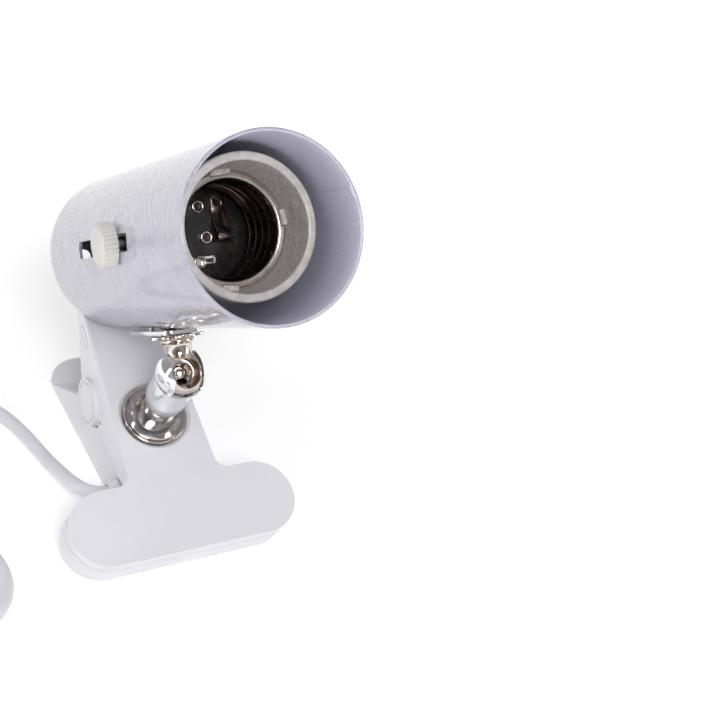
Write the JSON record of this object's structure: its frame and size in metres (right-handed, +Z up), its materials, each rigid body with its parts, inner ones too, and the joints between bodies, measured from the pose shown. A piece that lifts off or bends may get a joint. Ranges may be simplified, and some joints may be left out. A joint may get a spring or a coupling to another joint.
{
  "type": "heat lamp fixture",
  "caption": "Clip-on heat lamp fixture: a steel tube shade around a ceramic E27 lampholder, on a swivelling post and a spring clip, with a cord and plug.",
  "frame": {"origin": "on the surface that the fixture lies on, under the middle of the fixture's box, its cord left out", "axes": "+Z up from the surface; +X along the clip's jaws, to the right for someone who looks at the shade's mouth from the front; +Y from the jaws to the handles"},
  "size_m": [0.175, 0.136, 0.1576],
  "materials": {
    "white_paint": "glossy white stove enamel, slightly wrinkled",
    "white_plastic": "satin white",
    "ivory_plastic": "satin off-white",
    "black_plastic": "satin black",
    "soft_rubber": "matt",
    "white_cable": "smooth white PVC",
    "red_cable": "satin",
    "blue_cable": "satin",
    "chrome": "bright chrome plate",
    "nickel": "nickel plate",
    "steel": "zinc plated",
    "brass": "plain brass",
    "ceramic": "grey-beige glazed ceramic"
  },
  "bodies": {
    "rear_clip": {"rear_clip_half": "white_plastic", "rear_jaw_pad": "soft_rubber", "pivot_pin": "steel", "torsion_spring": "steel", "cord_grommet": "soft_rubber", "clip_lead": "white_cable", "power_cord": "white_cable", "cord_coil": "white_cable", "cord_tail": "white_cable", "plug_body": "white_plastic", "plug_pin_live": "brass", "plug_pin_neutral": "brass"},
    "front_clip": {"front_clip_half": "white_plastic", "front_jaw_pad": "soft_rubber", "base_ring": "chrome"},
    "swivel_post": {"swivel_post": "chrome", "post_nut": "steel", "post_washer": "steel", "post_lead": "white_cable"},
    "head": {"swivel_neck": "chrome", "star_washer": "chrome", "bracket_plate": "chrome", "plate_rivet": "steel", "shade_tube": "white_paint", "shade_back_cap": "white_paint", "nipple_nut": "steel", "socket_bracket": "steel", "socket_screw_upper": "steel", "socket_screw_lower": "steel", "socket_body": "ceramic", "screw_shell": "nickel", "centre_contact": "brass", "shell_strap": "nickel", "eyelet_upper": "brass", "eyelet_middle": "brass", "switch_body": "black_plastic", "lead_live": "red_cable", "lead_neutral": "blue_cable"},
    "knob": {"switch_shaft": "steel", "switch_knob": "ivory_plastic"}
  },
  "joints": [
    {"name": "jaw_hinge", "type": "hinge", "parent": "rear_clip", "child": "front_clip", "pos_m": [0, 0.0206, 0.0226], "axis": [1, 0, 0], "range_deg": [-26, 0], "stiffness_Nm_per_rad": 0.6, "springref_deg": 28.65, "deforming": ["torsion_spring", "clip_lead"]},
    {"name": "post_swivel", "type": "hinge", "parent": "front_clip", "child": "swivel_post", "pos_m": [0, 0.00077, 0.03115], "axis": [0, -0.4147, 0.91], "range_deg": [-170, 170]},
    {"name": "head_tilt", "type": "hinge", "parent": "swivel_post", "child": "head", "pos_m": [0, -0.01134, 0.05772], "axis": [1, 0, 0], "range_deg": [0, 90]},
    {"name": "knob_turn", "type": "hinge", "parent": "head", "child": "knob", "pos_m": [-0.02655, -0.00888, 0.10607], "axis": [-0.9984, 0.0446, -0.0335], "range_deg": [0, 270]}
  ]
}
